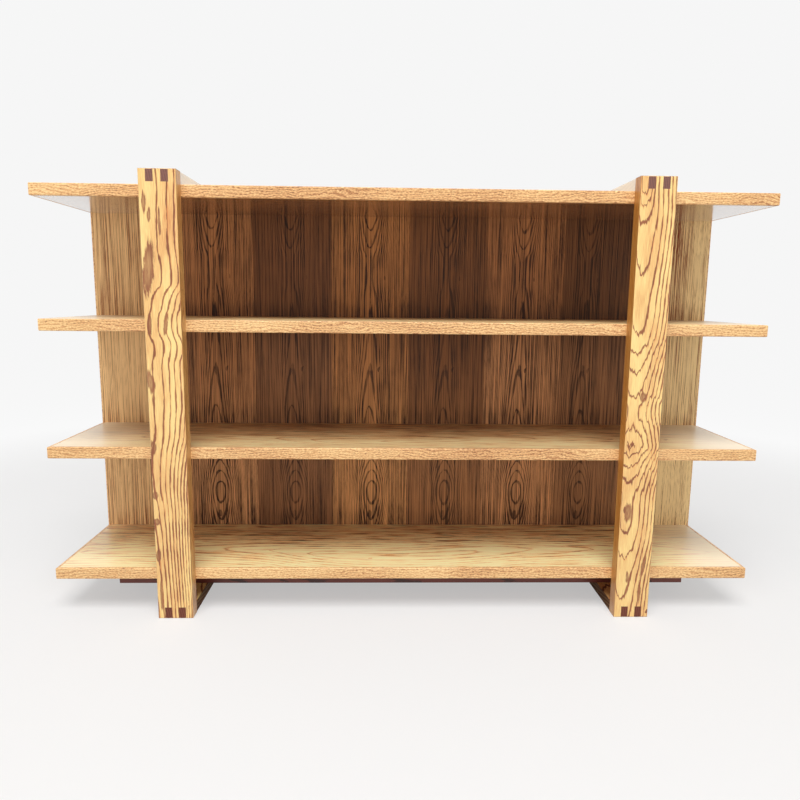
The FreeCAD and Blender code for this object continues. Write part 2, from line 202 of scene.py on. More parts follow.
class Finish:
    """A material with its shader and its place on the model, in metres."""

    def __init__(self, name, **constants):
        self.material = bpy.data.materials.new(name)
        self.material.use_nodes = True
        self.tree = self.material.node_tree
        self.shader = self.tree.nodes["Principled BSDF"]
        for socket, value in constants.items():
            self.shader.inputs[socket.replace("_", " ")].default_value = value
        spot = self.node("TexCoord", out="Object")
        self.x, self.y, self.z = (self.node("SeparateXYZ", {}, {0: spot}, out=axis) for axis in "XYZ")

    def node(self, kind, settings=None, values=None, out=0):
        """Adds a node: its settings come first, then the values or links of its sockets."""
        made = self.tree.nodes.new("ShaderNode" + kind)
        for name, setting in (settings or {}).items():
            if name == "stops":
                self.set_stops(made.color_ramp, setting)
            elif name == "points":
                self.set_points(made.mapping, setting)
            else:
                setattr(made, name, setting)
        for name, value in (values or {}).items():
            self.feed(made.inputs[name], value)
        return Value(self, made.outputs[out])

    def set_stops(self, ramp, stops):
        """Gives a colour ramp its places and colours."""
        while len(ramp.elements) < len(stops):
            ramp.elements.new(1.0)
        for element, (place, colour) in zip(ramp.elements, stops):
            element.position = place
            element.color = colour

    def set_points(self, mapping, points):
        """Draws a curve through points from 0 to 1; its first and last point are there already."""
        curve = mapping.curves[0]
        curve.points[0].location, curve.points[1].location = points[0], points[-1]
        for place, height in points[1:-1]:
            curve.points.new(place, height)
        for point in curve.points:
            point.handle_type = "AUTO_CLAMPED"
        mapping.update()

    def feed(self, socket, value):
        """Links a value to a socket, or sets a plain number or colour on it."""
        if isinstance(value, Value):
            self.tree.links.new(value.socket, socket)
        else:
            socket.default_value = value

    def give(self, **inputs):
        """Feeds the shader's own sockets."""
        for name, value in inputs.items():
            self.feed(self.shader.inputs[name.replace("_", " ")], value)

    def vector(self, x, y, z):
        """Joins three values into a vector."""
        return self.node("CombineXYZ", {}, {0: x, 1: y, 2: z})

    def noise(self, vector, detail=2.0, roughness=0.5):
        """Smooth random values about 0, one hump to a unit of the vector."""
        return self.node("TexNoise", {}, {"Vector": vector, "Scale": 1.0, "Detail": detail,
                                          "Roughness": roughness}) - 0.5

    def rise(self, value, low, high):
        """Goes smoothly from 0 to 1 as a value goes from low to high."""
        return self.node("MapRange", {"interpolation_type": "SMOOTHSTEP"},
                         {"Value": value, "From Min": low, "From Max": high})

    def curve(self, value, points):
        """A curve drawn through listed points, each a place and the height there."""
        start, stretch = points[0][0], points[-1][0] - points[0][0]
        heights = [height for _, height in points]
        low, span = min(heights), max(max(heights) - min(heights), LEAST_SPAN)
        drawn = [((place - start) / stretch, (height - low) / span) for place, height in points]
        return self.node("FloatCurve", {"points": drawn}, {"Value": (value - start) / stretch}) * span + low

    def blend(self, share, one, other):
        """Mixes two colours, sockets 6 and 7 of a Mix node, by a share from 0 to 1."""
        return self.node("Mix", {"data_type": "RGBA"}, {0: share, 6: one, 7: other}, out=2)

    def ramp(self, value, stops):
        """Turns a value into a colour by a row of stops."""
        return self.node("ValToRGB", {"stops": stops}, {0: value})

    def bump(self, height, distance):
        """Dents the surface by a height from 0 to 1 times a distance in metres."""
        return self.node("Bump", {}, {"Height": height, "Distance": distance, "Strength": 1.0})

    def seen(self):
        """1 for rays from the camera, off a mirror or through glass, and 0 for rays that only light."""
        rays = ("Is Camera Ray", "Is Glossy Ray", "Is Transmission Ray")
        return sum(self.node("LightPath", out=ray) for ray in rays)


print("Finish:", Finish.__doc__)

# %% [markdown]
# Colours are written as a painter would read them off a picture, from 0 to 255. A shader wants
# them linear in light, so `paint` takes off the picture's tone curve. A colour can then be made
# darker, lighter or warmer with `tinted`, and `between` finds one part of the way to another.

# %% Colours
def paint(red, green, blue):
    """A picture's colour made linear: (c + 0.055) / 1.055 to the power 2.4, or c / 12.92 when dark."""
    shares = [level / 255 for level in (red, green, blue)]
    return tuple(c / 12.92 if c <= 0.04045 else ((c + 0.055) / 1.055) ** 2.4 for c in shares) + (1.0,)


def tinted(colour, *shares):
    """A linear colour with each channel multiplied by its share; a single share serves all three."""
    channels = shares if len(shares) == 3 else shares * 3
    return tuple(min(1.0, level * share) for level, share in zip(colour, channels)) + (1.0,)


def between(one, other, share):
    """A colour part of the way from one to another."""
    return tuple(a + (b - a) * share for a, b in zip(one, other))


print("middle grey gives back", round(paint(128, 128, 128)[0], 3), "of the light")

# %% [markdown]
# ## How oak gets its figure
# A log is a stack of cones of growth rings. Sawn along, a board's face cuts the cones in nested cups or
# arches, with a closed eye where the trunk bent, and runs of nearly straight lines beside them. One could
# wrap a picture of wood round the boards, but a formula has no seams, and it goes on round the edges of a
# board as real wood does. So each spot gets a ring number. It grows to both sides of a core line, and it
# rises and falls along the board by a curve drawn through listed points. Where that curve passes a half,
# such as 2.5, a cup or an arch crosses the core line, so the heights of these can be read off a board with a
# ruler. A second curve leans the core line aside, and a third draws the rings together on part of a board.
# Noise may also shift a spot along the board before its number is worked out, which gives the cups small
# teeth.

# %% Ring numbers
TEETH_ACROSS, TEETH_ALONG = 120.0, 7.0  # humps of noise in a metre


def crown_rings(across, cut):
    """bend * (sqrt(1 + (a / crown)^2) - 1): round at the core line and straight further out."""
    return (((across / cut["crown"]) ** 2.0 + 1.0) ** 0.5 - 1.0) * cut["bend"]


def ring_number(finish, across, along, cut):
    """Rings at a place across and along a board: the crown about the leaning core line, times how
    tight it is there, plus the rise along the board, less each knot's dip
    depth * exp(-((a - a0) / w)^2 - ((l - l0) / h)^2), plus noise."""
    if cut["teeth"]:
        ragged = finish.vector(across * TEETH_ACROSS, cut["seed"], along * TEETH_ALONG)
        along = along + finish.noise(ragged, 2.0) * cut["teeth"]
    lean = finish.curve(along, cut["lean"]) if cut["lean"] else 0.0
    crown = crown_rings(across - lean - cut["core"], cut)
    if cut["tight"]:
        crown = crown * finish.curve(along, cut["tight"])
    rings = crown + finish.curve(along, cut["rise"])
    for a0, l0, width, height, depth in cut["knots"]:
        spread = ((across - a0) / width) ** 2.0 + ((along - l0) / height) ** 2.0
        rings = rings - (spread * -1.0).sum_with("EXPONENT") * depth
    slow = finish.vector(across * cut["wander_across"] + cut["seed"], cut["seed"],
                         along * cut["wander_along"])
    return rings + finish.noise(slow, 1.0) * cut["wander"]


print("5 cm beside a core line lie", round(crown_rings(0.05, {"crown": 0.036, "bend": 2.0}), 2), "rings")

# %% [markdown]
# A line is drawn where the ring number is half way between two whole numbers. How far a spot is
# from that line, in metres, is the ring number's distance from the half divided by its slope, and
# the slope comes from asking for the ring number again a little way across and a little way along.
# So a line's width is in metres, and it is made wider where the rings lie far apart, as the late
# wood of a fat ring is. Noise drawn out along the grain makes the lines jagged, slow noise swells
# and thins them, and on one side each line has a soft tan edge, since the wide early pores of a
# ring thin out towards the next. At a board's side faces the rings are cut through its depth, and
# `depth` says how many there are in a metre.

# %% Lines from ring numbers
STEP = 0.002         # metres from a spot to the two beside it
LEAST_SLOPE = 3.0    # rings in a metre, so that nothing is divided by 0 inside an eye
WIDENING = 72.0      # the larger, the wider a line in a fat ring
CLOSE_RINGS = 12.0   # rings in a metre added to the slope, so that this widening has an end
SWELLING = 4.0       # how strongly slow noise swells and thins a line
TAN_REACH = 4.5      # widths of a line


def widened(slope):
    """1 + 72 / (slope + 12): how many times wider a line is among so many rings in a metre."""
    return WIDENING / (slope + CLOSE_RINGS) + 1.0


def ring_lines(finish, across, along, deep, cut, at_side=0.0):
    """How dark the lines are, and how tan their soft edges are, both from 0 to 1."""
    here = ring_number(finish, across, along, cut)
    aside = (ring_number(finish, across + STEP, along, cut) - here) / STEP
    ahead = (ring_number(finish, across, along + STEP, cut) - here) / STEP
    slope = (aside * aside + ahead * ahead + at_side * (cut["depth"] ** 2.0) + LEAST_SLOPE ** 2) ** 0.5
    jag = finish.noise(finish.vector(across * 330.0, deep * 330.0 + cut["seed"], along * 38.0), 2.0, 0.6)
    swell = finish.noise(finish.vector(across * 34.0 + cut["seed"], deep * 60.0, along * 13.0), 1.0)
    ripple = finish.noise(finish.vector(across * 85.0, cut["seed"], along * 11.0), 2.0) * cut["ripple"]
    part = (here + ripple + deep * cut["depth"]).sum_with("FRACT") - 0.5
    off = part / slope + jag * cut["jag"]
    half = (swell * SWELLING + 1.0) * widened(slope) * cut["line"]
    dark = 1.0 - finish.rise(abs(off), half * 0.60, half * 1.30)
    tan = (1.0 - finish.rise(off, cut["line"], cut["line"] * TAN_REACH)) * (off > 0.0)
    return dark, tan


print("lines 2 cm apart are", round(widened(50.0) / widened(500.0), 1), "times as wide as lines 2 mm apart")

# %% [markdown]
# Not every mark is a line. Where the saw just grazes a ring it leaves a filled patch: the long
# oval near the top of the left post, an almond, small flecks. These are ellipses with a ragged
# rim, darker at the rim than inside. And over all of it lie the pores, as noise that is drawn out
# along the grain.

# %% Patches and pores
PORES = (900.0, 20.0)  # humps in a metre, across and along, for the pores of solid oak


def blots(finish, across, along, marks, seed):
    """Dark filled patches: ellipses with a place, half sizes and a lean, their rims made ragged."""
    ragged = finish.noise(finish.vector(across * 170.0 + seed, seed, along * 26.0), 4.0, 0.7)
    total = 0.0
    for a0, l0, half_width, half_height, lean in marks:
        high = (along - l0) / half_height
        aside = (across - a0 - high * lean) / half_width
        size = (high * high + aside * aside) ** 0.5 + ragged * 1.6
        inside = 1.0 - finish.rise(size, 0.78, 1.14)
        total = inside * (finish.rise(size, 0.30, 0.80) * 0.20 + 0.76 - ragged * 1.2) + total
    return total.sum_with("MINIMUM", 1.0)


def streaks(finish, across, along, deep, per_m_across, per_m_along, seed=0.0):
    """Fine pores and rays as noise drawn out along the grain, from about -0.5 to 0.5."""
    return finish.noise(finish.vector(across * per_m_across, deep * per_m_across + seed,
                                      along * per_m_along), 2.0, 0.6)


print("a pore is", round(PORES[0] / PORES[1]), "times as long as it is wide")

# %% [markdown]
# ## The frames' oak
#
# The posts are what one sees first: cream and gold oak with strong lines of purplish brown, under
# a soft lacquer. One material for all boards would repeat the same cups side by side, so each
# board gets its own cut, and all of them share this recipe for the colours. The ground goes from
# cream to tan with the soft edges, the slow tone and the pores, and the lines lie over it. Faces
# to the left and right may have a tint of their own, and the end grain is dark, because its open
# pores drink stain.

# %% Recipe for solid oak
LACQUER = {"Roughness": 0.42, "Coat_Weight": 0.4, "Coat_Roughness": 0.16, "IOR": 1.45}
CREAM_OAK = paint(255, 228, 152)
PALE_OAK = paint(250, 208, 136)
TAN_OAK = paint(216, 142, 84)
LINE_OAK = paint(160, 90, 54)
DEEP_OAK = paint(116, 58, 38)
END_OAK = paint(118, 70, 56)
SIDE = 0.0515         # metres from a post's middle: what lies further out is a side face
SKIN = 0.0006         # metres: what lies nearer to a board's end is its end face
LINE_STRENGTH = 0.92  # how much of a line's colour covers the ground
PORE_DEPTH = 0.00025  # metres


def end_grain(finish, colour, across, along, deep, ends):
    """Darkens the board's two end faces and draws short arcs of rings on them."""
    low, high, end_colour = ends
    at_end = (along < low) + (along > high)
    bent = finish.noise(finish.vector(across * 60.0, deep * 60.0, along)) * 4.0
    arcs = ((across * 2.2 + deep * 0.5) * 420.0 + bent).sum_with("SINE")
    speck = finish.noise(finish.vector(across * 900.0, deep * 900.0, along), 2.0)
    stops = [(0.1, tinted(end_colour, 0.5)), (0.9, tinted(end_colour, 1.5))]
    return finish.blend(at_end, colour, finish.ramp(arcs * 0.18 + speck * 0.6 + 0.5, stops))


def oak(name, across, along, deep, cut, colours, ends=None, lacquer=LACQUER, marks=(), sides=None):
    """An oak finish. Across, along and deep name the axes and the places that count as 0 there;
    sides is a tint for the faces to the left and right, and its strength."""
    finish = Finish(name, **lacquer)
    a, l, d = (getattr(finish, axis) - zero for axis, zero in (across, along, deep))
    dark, tan = ring_lines(finish, a, l, d, cut, abs(a) > SIDE)
    if marks:
        dark = blots(finish, a, l, marks, cut["seed"]).sum_with("MAXIMUM", dark)
    fine = streaks(finish, a, l, d, *PORES, cut["seed"])
    tone = finish.noise(finish.vector(a * 16.0, d * 16.0, l * 4.0 + cut["seed"]), 2.0)
    cream, pale, middle, line, deepest = colours
    ground = finish.ramp(tan * 0.50 + tone * 1.4 + fine * 1.7 + 0.34,
                         [(0.0, cream), (0.32, pale), (0.88, middle)])
    inked = finish.ramp(fine * 1.8 + tone * 1.3 + 0.5, [(0.2, line), (0.8, deepest)])
    colour = finish.blend(dark * LINE_STRENGTH, ground, inked)
    if sides is not None:
        tint, strength = sides
        colour = finish.blend((abs(a) > SIDE) * strength, colour, tint)
    if ends is not None:
        colour = end_grain(finish, colour, a, l, d, ends)
    finish.give(Base_Color=colour, Roughness=dark * 0.10 + fine * 0.08 + lacquer["Roughness"],
                Normal=finish.bump(fine * 0.8 - dark * 0.4, PORE_DEPTH))
    return finish.material


print("the ground gives", round(CREAM_OAK[1] / DEEP_OAK[1]), "times as much green light as the darkest line")

# %% [markdown]
# A cut is one way a saw went through a log. Lengths are in metres, and places across a post count
# from its middle. `rise` gives the height of each cup or arch: 12.5 at 0.190 puts a line 0.19 m
# above the floor. The right post has a row of shallow cups near its left edge, with an eye below
# its middle. The left one has bundles of lines that sway to the right and back, and more filled
# patches than cups, so it also gets a list of marks.

# %% Cuts of the posts
POST_LOW, POST_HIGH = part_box("left_front_post")
TALL = POST_HIGH.z

BASE_CUT = {
    "core": 0.0, "crown": 0.036, "bend": 2.0, "rise": [(0.0, 12.0), (TALL, 0.0)], "lean": [], "knots": [],
    "tight": [], "teeth": 0.0, "depth": 90.0, "line": 0.0014, "jag": 0.0045, "ripple": 0.42, "seed": 0.0,
    "wander": 0.55, "wander_across": 16.0, "wander_along": 9.0,
}
LEFT_CUT = {
    **BASE_CUT, "core": -0.032, "crown": 0.110, "bend": 10.5, "seed": 4.0, "wander": 0.30, "line": 0.0009,
    "tight": [(0.0, 1.8), (0.20, 1.8), (0.35, 1.65), (0.50, 1.35), (0.60, 1.15), (0.70, 1.0), (TALL, 1.0)],
    "lean": [(0.0, -0.054), (0.21, -0.053), (0.335, -0.048), (0.43, -0.046), (0.51, -0.041),
             (0.60, -0.033), (0.66, -0.034), (0.765, -0.035), (0.82, -0.027), (0.875, -0.040),
             (0.93, -0.030), (0.966, -0.020), (0.985, -0.010), (1.02, 0.002), (1.07, -0.002),
             (1.12, -0.005), (1.20, -0.003), (TALL, 0.000)],
    "rise": [(0.0, -1.6), (0.21, -0.9), (0.335, 0.1), (0.43, 0.9), (0.51, 1.1), (0.72, 1.1), (TALL, 1.1)],
}
RIGHT_CUT = {
    **BASE_CUT, "core": -0.034, "crown": 0.110, "bend": 18.7, "seed": 9.0, "wander": 0.40, "ripple": 0.25,
    "teeth": 0.045, "line": 0.00084,
    "rise": [(0.0, 13.9), (0.07, 13.5), (0.19, 12.5), (0.275, 11.5), (0.33, 11.3), (0.365, 11.3),
             (0.43, 10.5), (0.475, 9.5), (0.51, 8.5), (0.532, 7.62), (0.5425, 7.44), (0.553, 7.62),
             (0.5975, 8.5), (0.645, 9.3), (0.6885, 8.5), (0.761, 7.5), (0.8185, 6.5), (0.866, 5.5),
             (1.041, 4.5), (1.138, 3.9), (1.2135, 3.6), (1.261, 3.8), (TALL, 3.9)],
    "knots": [(-0.038, 1.305, 0.024, 0.075, 3.2)],
}
print("the right post's curve has", len(RIGHT_CUT["rise"]), "points in", round(TALL, 3), "m")

# %% [markdown]
# The marks of the two front posts follow the photograph: place across, height, half width, half
# height and lean. The rear posts are hidden, so each takes the other side's cut with its core
# moved, and no two posts are alike.

# %% The four posts
LEFT_MARKS = [
    (-0.034, 1.041, 0.015, 0.078, 0.008), (-0.039, 1.221, 0.006, 0.028, 0.0),
    (-0.026, 1.186, 0.005, 0.020, 0.0), (-0.036, 0.890, 0.005, 0.030, 0.0),
    (0.008, 0.886, 0.006, 0.032, 0.004), (-0.043, 0.722, 0.009, 0.034, -0.003),
    (0.002, 1.165, 0.004, 0.040, 0.0), (-0.042, 0.530, 0.008, 0.020, 0.0),
    (-0.044, 0.385, 0.009, 0.013, 0.0), (-0.043, 0.305, 0.009, 0.011, 0.0),
    (-0.043, 0.200, 0.008, 0.020, 0.0), (-0.039, 0.085, 0.004, 0.060, 0.002),
]
RIGHT_MARKS = [
    (-0.030, 0.335, 0.011, 0.030, 0.0), (0.028, 0.165, 0.006, 0.045, 0.006),
    (0.020, 0.080, 0.005, 0.038, 0.0), (-0.019, 0.130, 0.005, 0.018, 0.0),
    (-0.006, 0.686, 0.010, 0.016, 0.0),
]
POST_COLOURS = (CREAM_OAK, PALE_OAK, TAN_OAK, LINE_OAK, DEEP_OAK)
POST_ENDS = (SKIN, TALL - SKIN, END_OAK)
RIGHT_LOW, RIGHT_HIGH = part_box("right_front_post")
LEFT_MIDDLE = (POST_LOW.x + POST_HIGH.x) / 2
RIGHT_MIDDLE = (RIGHT_LOW.x + RIGHT_HIGH.x) / 2
REAR_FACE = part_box("left_rear_post")[1].y

post_oaks = {
    "left_front_post": oak("left_post_oak", ("x", LEFT_MIDDLE), ("z", 0.0), ("y", POST_LOW.y), LEFT_CUT,
                           POST_COLOURS, POST_ENDS, marks=LEFT_MARKS, sides=(paint(224, 150, 66), 0.30)),
    "right_front_post": oak("right_post_oak", ("x", RIGHT_MIDDLE), ("z", 0.0), ("y", RIGHT_LOW.y), RIGHT_CUT,
                            POST_COLOURS, POST_ENDS, marks=RIGHT_MARKS, sides=(paint(200, 124, 22), 0.68)),
    "left_rear_post": oak("left_rear_oak", ("x", LEFT_MIDDLE), ("z", 0.0), ("y", REAR_FACE),
                          {**RIGHT_CUT, "seed": 15.0, "core": 0.02}, POST_COLOURS, POST_ENDS),
    "right_rear_post": oak("right_rear_oak", ("x", RIGHT_MIDDLE), ("z", 0.0), ("y", REAR_FACE),
                           {**LEFT_CUT, "seed": 21.0, "core": 0.0}, POST_COLOURS, POST_ENDS),
}
print(len(post_oaks), "posts", round(POST_HIGH.x - POST_LOW.x, 3), "m wide")

# %% [markdown]
# The rails lie along the depth of the bookshelf, so their grain runs along Y. From the front one sees their
# fingers' ends, as dark squares in the corners of the posts, and a strip of their sides. The top ones catch
# the light and look pale under a bright lacquer, and their sides are painted near white, a painted glare.
# The bottom ones lie in the dark below the shelf and look nearly matt, and their sides are painted dark
# brown, a painted shade. The lamps alone would not part them that far, so each level has its own painted
# tint and its own lacquer.

# %% Rails
RAIL_LOW, RAIL_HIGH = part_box("left_top_rail")
RAIL_ENDS = (RAIL_LOW.y + SKIN, RAIL_HIGH.y - SKIN, END_OAK)
RAIL_CUT = {**BASE_CUT, "bend": 1.8, "crown": 0.03,
            "rise": [(RAIL_LOW.y, 0.0), (0.0, 3.4), (RAIL_HIGH.y, 5.0)]}
# painted glare on the top rails' sides, painted shade on the bottom rails' sides
RAIL_SIDE_GLARE_AND_SHADE = {"top": (paint(255, 246, 232), 0.92), "bottom": (paint(70, 44, 28), 0.85)}
RAIL_LACQUERS = {"top": {**LACQUER, "Coat_Weight": 1.0, "Coat_Roughness": 0.1},
                 "bottom": {**LACQUER, "Coat_Weight": 0.0, "Roughness": 0.75, "IOR": 1.3}}
rail_oaks = {}
for side, middle in (("left", LEFT_MIDDLE), ("right", RIGHT_MIDDLE)):
    for level in ("top", "bottom"):
        name, count = f"{side}_{level}_rail", len(rail_oaks)
        cut = {**RAIL_CUT, "seed": 30.0 + 7.0 * count, "core": 0.012 * (1 - count)}
        rail_oaks[name] = oak(f"{name}_oak", ("x", middle), ("y", 0.0), ("z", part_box(name)[0].z), cut,
                              POST_COLOURS, RAIL_ENDS, RAIL_LACQUERS[level], sides=RAIL_SIDE_GLARE_AND_SHADE[level])
print(len(rail_oaks), "rails")

# %% [markdown]
# ## The shelves
#
# The shelves are boards faced with oak veneer, and the veneer is calmer than the posts: fine lines along the
# shelf, a few long lens-shaped ticks, and here and there a faint arch lying on its side. Light and shade are
# painted into their colours. The tops are painted paler in front, a painted light, and browner behind, a
# painted shade; the undersides are painted as brown as the back panel, a painted shade; and both are painted
# pale towards the free ends, a painted glare of the pale surroundings. One finish with a few numbers for
# each shelf does it all: `shade` for how much its whole top is painted lighter or darker, a pair for the
# painted glare at its left and right end, `front` for how much paler the painted light makes the front
# strip, and `rear` for where the painted shade behind starts and ends and how strong it is. The lacquer is
# satin, and glossier below, where it mirrors the pale floor.

# %% Colours of the shelves
SHELF_LACQUER = {"Roughness": 0.38, "Coat_Weight": 0.15, "Coat_Roughness": 0.14, "IOR": 1.5}
SHELF_STOPS = [(0.0, paint(255, 234, 176)), (0.30, paint(255, 208, 144)), (0.62, paint(222, 150, 92)),
               (1.0, paint(98, 60, 40))]
# the undersides' darker colours are painted shade
SHADED_UNDERSIDE_STOPS = [(0.0, paint(168, 116, 74)), (0.30, paint(142, 94, 56)), (0.62, paint(106, 66, 38)),
                   (1.0, paint(66, 38, 22))]
# painted glare: the free ends of tops and undersides are painted near white, as a reflection of the pale
# surroundings
GLARE_TOP = paint(255, 238, 208)
GLARE_UNDERSIDE = paint(255, 246, 234)
# each shelf's painted light and shade: shade paints its whole top lighter or darker, the pair paints glare
# at its ends, front paints light, rear paints shade
SHELF_LOOKS = {
    "bottom": {"shade": 1.06, "glare": (0.22, 0.85), "front": 0.24, "rear": (-0.04, 0.20, 0.16)},
    "lower": {"shade": 0.78, "glare": (0.80, 1.00), "front": 0.06, "rear": (-0.08, 0.14, 0.30)},
    "upper": {"shade": 0.94, "glare": (0.60, 0.60), "front": 0.10, "rear": (0.04, 0.24, 0.10)},
    "top": {"shade": 1.0, "glare": (0.60, 0.60), "front": 0.10, "rear": (0.04, 0.24, 0.16)},
}
SHELF_CUT = {
    **BASE_CUT, "crown": 0.05, "bend": 3.4, "depth": 0.0, "line": 0.0012, "jag": 0.0060, "ripple": 0.3,
    "lean": [(-1.1, 0.0), (-0.6, 0.03), (-0.1, -0.02), (0.5, 0.03), (1.1, 0.0)],
    "rise": [(-1.1, 6.0), (-0.5, 3.0), (0.1, 0.4), (0.45, 1.6), (1.1, 5.0)],
    "wander": 1.2, "wander_across": 9.0, "wander_along": 2.2,
}
CORE_FORWARD = 0.08          # metres from a shelf's middle to the core line in front of it
GLARE_REACH = (0.74, 1.06)  # metres from the middle, where the painted glare starts and is full
LIT_FRONT_REACH = (0.02, -0.14)  # metres from the core line, the same for the painted light on the front
UNDERSIDE = 0.0005           # metres: what lies lower is the underside
VENEER_DEPTH = 0.0002        # metres, of the finest grooves in veneer and lippings
print(len(SHELF_LOOKS), "shelves, bleached from", GLARE_REACH[0], "m outwards")

# %% [markdown]
# The finish of a shelf adds up its patterns, each times how much it counts, and a ramp turns the
# sum into a colour, once for the top and once for the underside.

# %% Shelf veneer
def shelf_veneer(name, seed, core, low, look):
    """Veneer along X: faint rings of a wide crown, fine lines and long dark ticks, with painted light in
    front, painted shade behind and below, and painted glare at the ends.
    """
    finish = Finish(name, **SHELF_LACQUER)
    a, l, d = finish.y - core, finish.x, finish.z - low
    dark, tan = ring_lines(finish, a, l, d, {**SHELF_CUT, "seed": seed})
    fine = streaks(finish, a, l, d, 420.0, 5.0, seed)
    hair = streaks(finish, a, l, d, 1500.0, 16.0, seed + 3.0)
    long_streaks = streaks(finish, a, l, d, 95.0, 6.0, seed + 8.0)
    ticks = finish.rise(long_streaks, 0.06, 0.20) * finish.rise(a, -0.10, 0.16)
    mottle = finish.noise(finish.vector(l * 9.0, a * 46.0, seed), 3.0, 0.6)
    tone = finish.noise(finish.vector(l * 1.3, a * 7.0, seed), 2.0)
    value = dark * 0.34 + tan * 0.18 + fine * 1.70 + hair * 1.10 + ticks * 0.80 + mottle * 1.15 + tone * 0.6
    # painted shade towards the back of the top and painted light on its front strip; each top is then
    # painted lighter or darker by its level's shade
    start, end, darker = look["rear"]
    value = value + finish.rise(a, start, end) * darker - finish.rise(a, *LIT_FRONT_REACH) * look["front"] + 0.06
    top = finish.ramp(value, [(place, tinted(colour, look["shade"])) for place, colour in SHELF_STOPS])
    # painted shade on the underside
    under = finish.ramp(value, SHADED_UNDERSIDE_STOPS)
    # painted glare of the pale surroundings on the free ends, top and underside
    left, right = look["glare"]
    glared = finish.rise(abs(l), *GLARE_REACH) * ((l > 0.0) * (right - left) + left)
    top = finish.blend(glared, top, GLARE_TOP)
    under = finish.blend(glared, under, GLARE_UNDERSIDE)
    below = d < UNDERSIDE
    finish.give(Base_Color=finish.blend(below, top, under),
                Roughness=fine * 0.08 + SHELF_LACQUER["Roughness"] - below * 0.18,
                Coat_Weight=below * 0.85 + SHELF_LACQUER["Coat_Weight"],
                Normal=finish.bump(hair * 0.5 - ticks * 0.3, VENEER_DEPTH))
    return finish.material


SHELVES = ("bottom", "lower", "upper", "top")
shelf_oaks = {}
for count, level in enumerate(SHELVES):
    low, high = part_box(f"{level}_shelf")
    core = (low.y + high.y) / 2 - CORE_FORWARD
    shelf_oaks[f"{level}_shelf"] = shelf_veneer(f"{level}_shelf_oak", 2.0 + 5.0 * count, core, low.z,
                                                SHELF_LOOKS[level])
print(len(shelf_oaks), "veneers")

# %% [markdown]
# The lippings are the solid strips that hide the edges of the veneered boards. Their grain is
# small: wavy lines a few millimetres apart, broken up into a mottle. Some of the front ones look
# darker about their middle, which is `dip`.

# %% Lippings
LIP_STOPS = [(0.0, paint(255, 220, 158)), (0.30, paint(240, 192, 132)), (0.66, paint(204, 146, 94)),
             (1.0, paint(138, 86, 52))]
LIP_DIPS = {"bottom": -0.02, "lower": 0.09, "upper": 0.05, "top": 0.14}
LIP_RINGS = 130.0         # lines in a metre
DIP_REACH = (0.30, 0.95)  # metres from the middle, where the dip ends


def lipping_oak(name, across, along, deep, seed, dip=0.0):
    """A narrow solid strip: wavy lines along it, broken up into a fine mottle."""
    finish = Finish(name, **SHELF_LACQUER)
    a, l, d = (getattr(finish, axis) - zero for axis, zero in (across, along, deep))
    sway = finish.noise(finish.vector(l * 9.0, seed, a * 20.0), 2.0)
    jag = streaks(finish, a, l, d, 300.0, 60.0, seed)
    part = ((a + d * 0.8) * LIP_RINGS + sway * 6.0 + jag * 1.1).sum_with("FRACT")
    lines = 1.0 - finish.rise(abs(part - 0.5), 0.06, 0.30)
    mottle = streaks(finish, a, l, d, 420.0, 150.0, seed + 5.0)
    tone = finish.noise(finish.vector(l * 3.2, a * 14.0, seed), 2.0)
    darker = (1.0 - finish.rise(abs(l), *DIP_REACH)) * dip
    finish.give(Base_Color=finish.ramp(lines * 0.36 + mottle * 1.9 + tone * 0.80 + darker + 0.25, LIP_STOPS),
                Roughness=mottle * 0.10 + SHELF_LACQUER["Roughness"],
                Normal=finish.bump(mottle * 0.4 - lines * 0.4, VENEER_DEPTH))
    return finish.material


for count, level in enumerate(SHELVES):
    name = f"{level}_shelf_front_lipping"
    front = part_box(name)[0]
    shelf_oaks[name] = lipping_oak(f"{level}_edge_oak", ("z", front.z), ("x", 0.0), ("y", front.y),
                                   40.0 + 6.0 * count, LIP_DIPS[level])
    for side in ("left", "right"):
        name = f"{level}_shelf_{side}_lipping"
        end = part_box(name)[0]
        shelf_oaks[name] = lipping_oak(f"{level}_{side}_end_oak", ("z", end.z), ("y", 0.0), ("x", end.x),
                                       70.0 + 6.0 * count)
print(len(shelf_oaks), "finishes for the shelves")

# %% [markdown]
# ## The back panel
#
# The panel is faced with leaves of veneer cut one after another from the same flitch, so all of them have
# the same figure: cups near the top, a thin vein, pointed arches and an eye near the bottom. They take the
# light differently, and every other leaf looks darker; the table paints that difference in sheen as darker
# colours. The leaves' colours are partly the veneer's own tone and partly painted light and shade: the outer
# leaves are painted paler, in the light outside the frames, and the inner ones darker, in the shade between
# them. Eight drawings would lose that kinship, so all leaves share one cut, and a table gives each leaf the
# place of its core line, its two colours, how dark the middle of its ramp is, how strong its figure is, and
# its foot: how much paler it is painted low down, a painted light, and between which heights.

